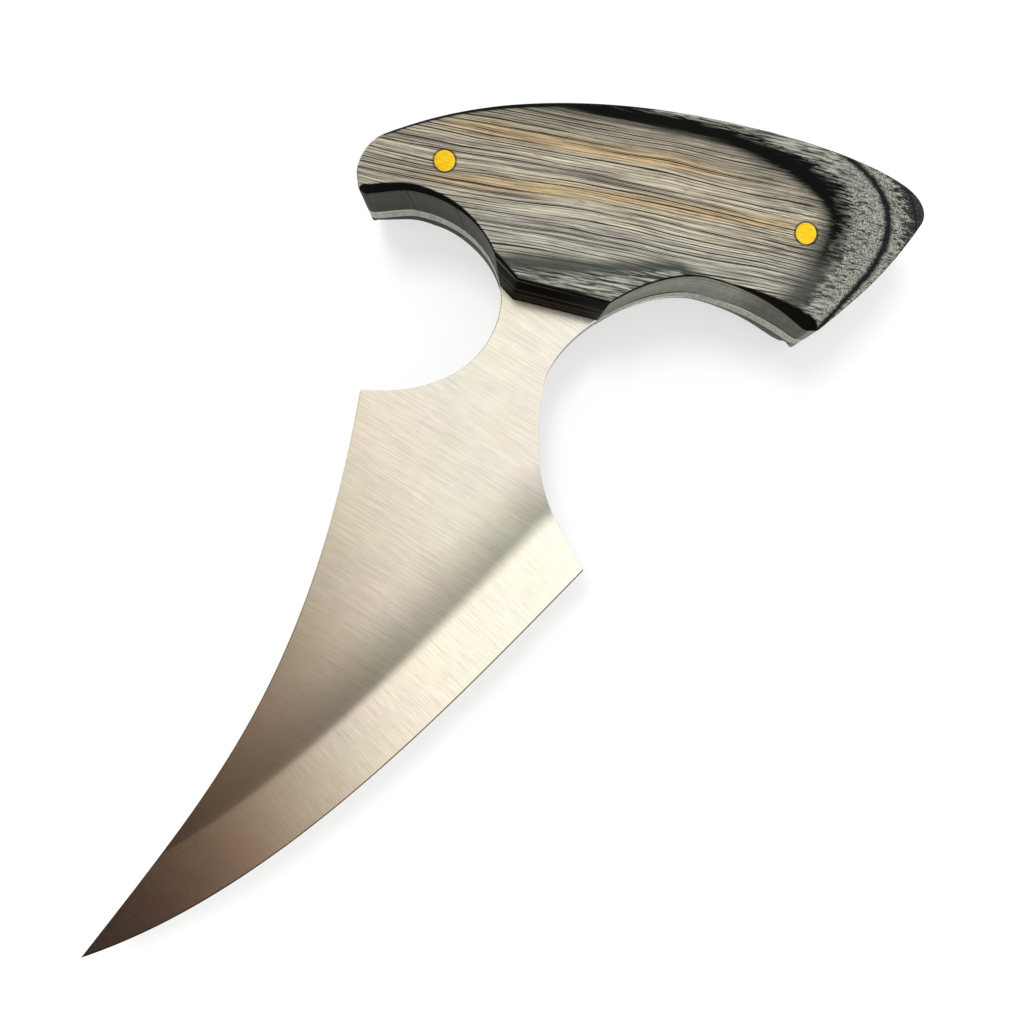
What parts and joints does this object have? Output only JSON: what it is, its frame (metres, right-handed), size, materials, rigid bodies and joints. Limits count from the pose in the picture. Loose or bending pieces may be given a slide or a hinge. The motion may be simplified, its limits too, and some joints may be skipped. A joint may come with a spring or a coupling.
{
  "type": "push knife",
  "caption": "T-handled push knife: a claw-curved full-tang steel blade between two dyed laminated-wood scales, held by brass pins.",
  "frame": {"origin": "middle between the two pins, on the flat outer face of the back scale", "axes": "+X along the handle from the butt to the nose, +Y away from the blade, +Z from the back face to the front face"},
  "size_m": [0.1303, 0.1786, 0.0232],
  "materials": {
    "steel": "satin, ground with fine scratches",
    "laminated_wood": "dyed black, grey and tan veneers, oiled and sanded smooth",
    "epoxy": "clear amber, cured",
    "brass": "polished, sanded flush"
  },
  "bodies": {
    "root": {"blade": "steel", "back_scale": "laminated_wood", "front_scale": "laminated_wood", "back_bond": "epoxy", "front_bond": "epoxy", "left_pin": "brass", "right_pin": "brass"}
  },
  "joints": []
}
